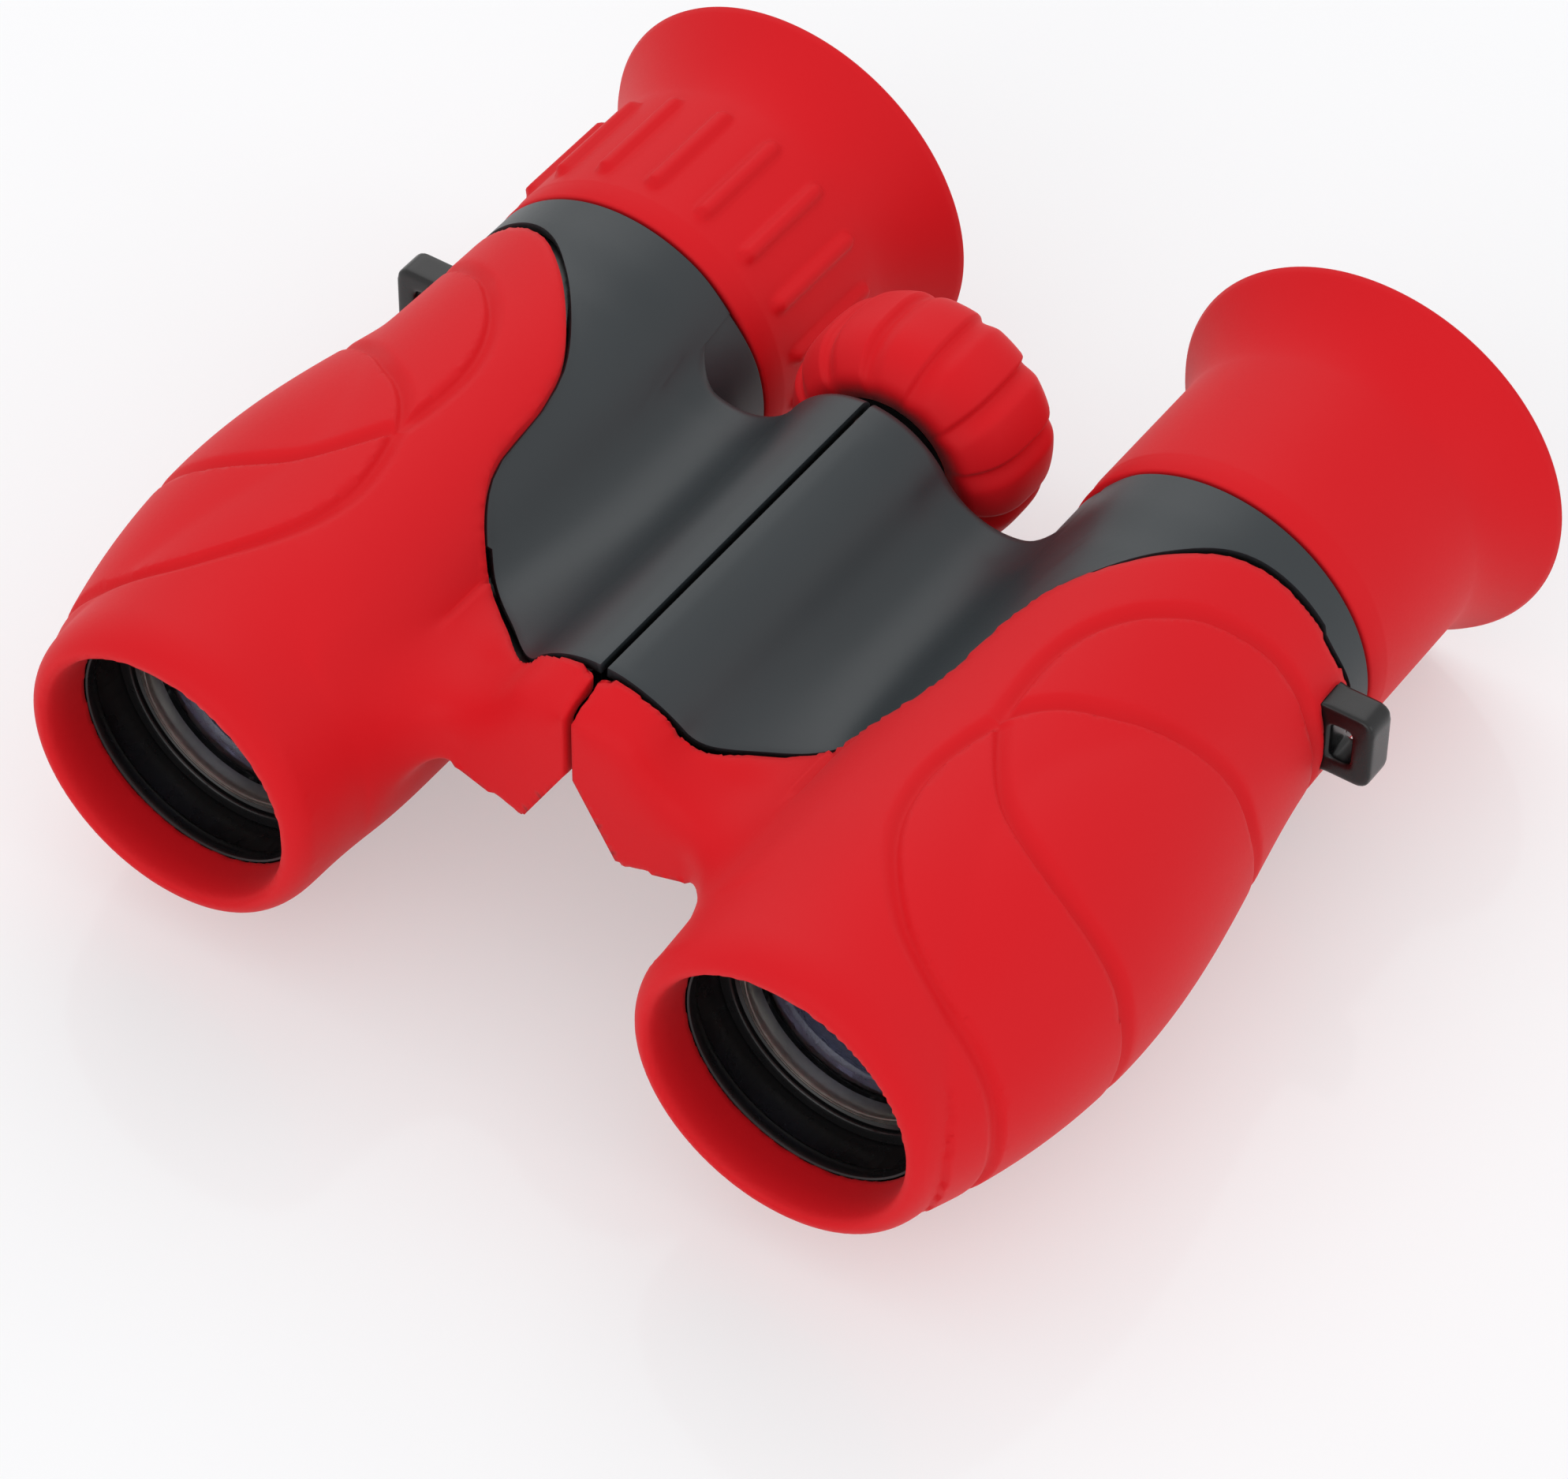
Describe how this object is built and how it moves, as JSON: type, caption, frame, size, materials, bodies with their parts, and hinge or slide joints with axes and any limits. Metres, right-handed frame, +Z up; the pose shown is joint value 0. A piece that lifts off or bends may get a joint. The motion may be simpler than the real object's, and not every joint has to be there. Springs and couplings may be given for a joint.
{
  "type": "binoculars",
  "caption": "Compact roof-prism binoculars for children with rubber-armoured barrels on a folding hinge, a focus wheel, a dioptre eyecup and strap lugs.",
  "frame": {"origin": "centre of the bounding box's bottom face, on the plane that the eyecup rims touch", "axes": "+Z up, -Y the way the objectives look, +Y the eyecups, +X the barrel with the smooth eyecup"},
  "size_m": [0.1108, 0.1016, 0.0418],
  "materials": {
    "red_rubber": "soft-touch matt rubber",
    "satin_grey": "satin blue-grey plastic",
    "black_plastic": "matt black moulded plastic",
    "lug_plastic": "black moulded plastic with a slight sheen",
    "lens_glass": "polished glass with a faint blue coating",
    "prism_glass": "polished glass",
    "ring_metal": "turned aluminium",
    "bright_steel": "turned steel"
  },
  "bodies": {
    "right_half": {"right_chassis": "black_plastic", "right_cover": "satin_grey", "right_armour": "red_rubber", "right_strap_lug": "lug_plastic", "right_prism_cage": "black_plastic", "right_roof_prism": "prism_glass", "right_half_prism": "prism_glass", "right_eyepiece_tube": "black_plastic", "right_eyepiece_cell": "black_plastic", "right_field_lens": "lens_glass", "right_eye_lens": "lens_glass", "right_eye_ring": "black_plastic", "right_cup_sleeve": "black_plastic", "right_eyecup": "red_rubber", "hinge_tube": "bright_steel", "hinge_clip": "bright_steel"},
    "left_half": {"left_chassis": "black_plastic", "left_cover": "satin_grey", "left_armour": "red_rubber", "left_strap_lug": "lug_plastic", "left_prism_cage": "black_plastic", "left_roof_prism": "prism_glass", "left_half_prism": "prism_glass", "left_eyepiece_tube": "black_plastic"},
    "dioptre": {"left_dioptre_sleeve": "black_plastic", "left_eyecup": "red_rubber"},
    "left_eyepiece": {"left_eyepiece_cell": "black_plastic", "left_field_lens": "lens_glass", "left_eye_lens": "lens_glass", "left_eye_ring": "black_plastic"},
    "right_objective": {"right_objective_cell": "black_plastic", "right_objective_lens": "lens_glass", "right_lens_ring": "ring_metal"},
    "left_objective": {"left_objective_cell": "black_plastic", "left_objective_lens": "lens_glass", "left_lens_ring": "ring_metal"},
    "focus_slider": {"focus_rod": "bright_steel", "rod_clip": "bright_steel"},
    "focus_wheel": {"focus_wheel_core": "black_plastic", "focus_wheel_tyre": "red_rubber", "focus_wheel_cap": "black_plastic"}
  },
  "joints": [
    {"name": "fold", "type": "hinge", "parent": "right_half", "child": "left_half", "pos_m": [0, 0, 0.0273], "axis": [0, -1, 0], "range_deg": [0, 55]},
    {"name": "focus_turn", "type": "hinge", "parent": "right_half", "child": "focus_wheel", "pos_m": [0, 0.0233, 0.0273], "axis": [0, 1, 0], "range_deg": [-180, 180]},
    {"name": "rod_slide", "type": "slide", "parent": "right_half", "child": "focus_slider", "axis": [0, 1, 0], "range_m": [-0.0014, 0.0014]},
    {"name": "right_focus", "type": "slide", "parent": "right_half", "child": "right_objective", "axis": [0, 1, 0], "range_m": [-0.0014, 0.0014]},
    {"name": "left_focus", "type": "slide", "parent": "left_half", "child": "left_objective", "axis": [0, 1, 0], "range_m": [-0.0014, 0.0014]},
    {"name": "dioptre_turn", "type": "hinge", "parent": "left_half", "child": "dioptre", "pos_m": [-0.0338, 0.03, 0.0209], "axis": [0, 1, 0], "range_deg": [-40, 40]},
    {"name": "dioptre_slide", "type": "slide", "parent": "left_half", "child": "left_eyepiece", "axis": [0, 1, 0], "range_m": [-0.0006, 0.0006]}
  ],
  "couplings": [
    {"joint": "focus_turn", "follows": "rod_slide", "rad_per_m": 2243},
    {"joint": "right_focus", "follows": "rod_slide", "ratio": 1},
    {"joint": "left_focus", "follows": "rod_slide", "ratio": 1},
    {"joint": "dioptre_turn", "follows": "dioptre_slide", "rad_per_m": 1163}
  ]
}
